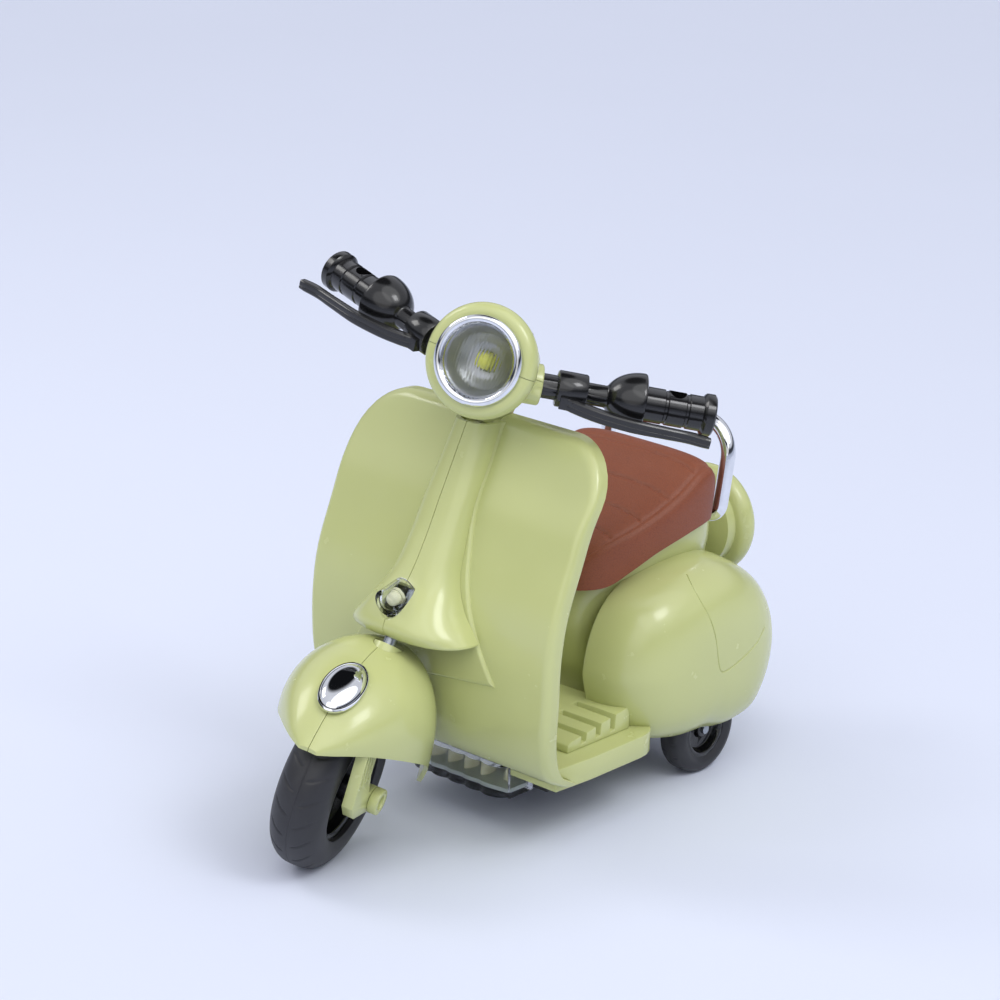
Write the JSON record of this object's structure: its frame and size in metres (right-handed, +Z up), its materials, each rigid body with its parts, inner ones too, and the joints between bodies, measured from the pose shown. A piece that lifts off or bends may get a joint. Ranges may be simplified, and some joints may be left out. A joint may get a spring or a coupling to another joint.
{
  "type": "toy motor scooter",
  "caption": "Classic-style toy motor scooter with leg shield, round headlamp, bulging side cowls, turning fork and handlebar, rolling wheels and a pull-back spring motor.",
  "frame": {"origin": "on the ground in the centre plane, straight below the rear axle", "axes": "+X forward, +Y to the scooter's left, +Z up"},
  "size_m": [0.2059, 0.1273, 0.1735],
  "materials": {
    "olive_gloss": "moulded gloss plastic, olive cream",
    "black_gloss": "moulded gloss plastic, black",
    "black_matte": "moulded plastic, fine satin",
    "seat_brown": "soft moulded plastic with leather grain",
    "tyre_black": "moulded rubber",
    "chrome": "vacuum-plated plastic",
    "clear": "clear plastic",
    "steel": "plain steel",
    "gear_plastic": "natural acetal",
    "case_plastic": "natural plastic",
    "board": "glass-fibre board with solder mask",
    "led": "cast epoxy",
    "cell": "printed steel can"
  },
  "bodies": {
    "chassis": {"floor_pan": "olive_gloss", "footboard": "olive_gloss", "leg_shield": "olive_gloss", "shield_panel": "olive_gloss", "shield_plate": "olive_gloss", "column_left": "olive_gloss", "column_right": "olive_gloss", "head_bearings": "black_matte", "horn_lamp_tube": "clear", "horn_lamp_led": "led", "body_left": "olive_gloss", "body_right": "olive_gloss", "cowl_left": "olive_gloss", "cowl_right": "olive_gloss", "seat": "seat_brown", "rack_loop": "chrome", "spare_cover": "olive_gloss", "spare_bolt": "chrome", "lamp_tray": "clear", "tray_board": "board", "tray_leds": "led", "battery_box": "black_matte", "battery_door": "black_matte", "batteries": "cell", "battery_contacts": "steel", "circuit_board": "board", "speaker": "black_matte", "switch_case": "black_matte", "motor_case_left": "case_plastic", "motor_case_right": "case_plastic", "mainspring": "steel", "case_screws": "steel"},
    "steering": {"stem": "steel", "fork": "olive_gloss", "fork_caps": "olive_gloss", "front_axle": "steel", "mudguard_left": "olive_gloss", "mudguard_right": "olive_gloss", "mudguard_badge": "chrome", "headset_lower": "olive_gloss", "headset_upper": "olive_gloss", "lamp_bezel": "chrome", "lamp_lens": "clear", "lamp_reflector": "chrome", "lamp_led": "led", "handle_left": "black_gloss", "handle_right": "black_gloss", "lever_left": "black_gloss", "lever_right": "black_gloss"},
    "button": {"horn_button": "black_gloss"},
    "front_wheel": {"front_hub": "black_matte", "front_tyre": "tyre_black"},
    "rear_wheels": {"rear_axle": "steel", "axle_gear": "gear_plastic", "rear_hubs": "black_matte", "rear_tyres": "tyre_black"},
    "middle_shaft": {"middle_gear": "gear_plastic"},
    "spring_shaft": {"spring_gear": "gear_plastic"},
    "switch": {"switch_slider": "steel"}
  },
  "joints": [
    {"name": "steer", "type": "hinge", "parent": "chassis", "child": "steering", "pos_m": [0.103, 0, 0.09], "axis": [-0.5664, 0, 0.8241], "range_deg": [-50, 2]},
    {"name": "horn_press", "type": "slide", "parent": "steering", "child": "button", "axis": [0.3138, -0.1223, -0.9416], "range_m": [0, 0.0012], "stiffness_N_per_m": 400},
    {"name": "front_spin", "type": "hinge", "parent": "steering", "child": "front_wheel", "pos_m": [0.13789, -0.00473, 0.027], "axis": [-0.3352, 0.9135, -0.2304], "continuous": true},
    {"name": "rear_spin", "type": "hinge", "parent": "chassis", "child": "rear_wheels", "pos_m": [0, 0, 0.015], "axis": [0, 1, 0], "continuous": true},
    {"name": "middle_spin", "type": "hinge", "parent": "chassis", "child": "middle_shaft", "pos_m": [0.009, 0, 0.027], "axis": [0, 1, 0], "continuous": true},
    {"name": "spring_spin", "type": "hinge", "parent": "chassis", "child": "spring_shaft", "pos_m": [0.017, 0, 0.042], "axis": [0, 1, 0], "continuous": true},
    {"name": "switch_slide", "type": "slide", "parent": "chassis", "child": "switch", "axis": [0, 1, 0], "range_m": [0, 0.003]}
  ],
  "couplings": [
    {"joint": "middle_spin", "follows": "rear_spin", "ratio": -0.5},
    {"joint": "spring_spin", "follows": "rear_spin", "ratio": 0.20833}
  ]
}
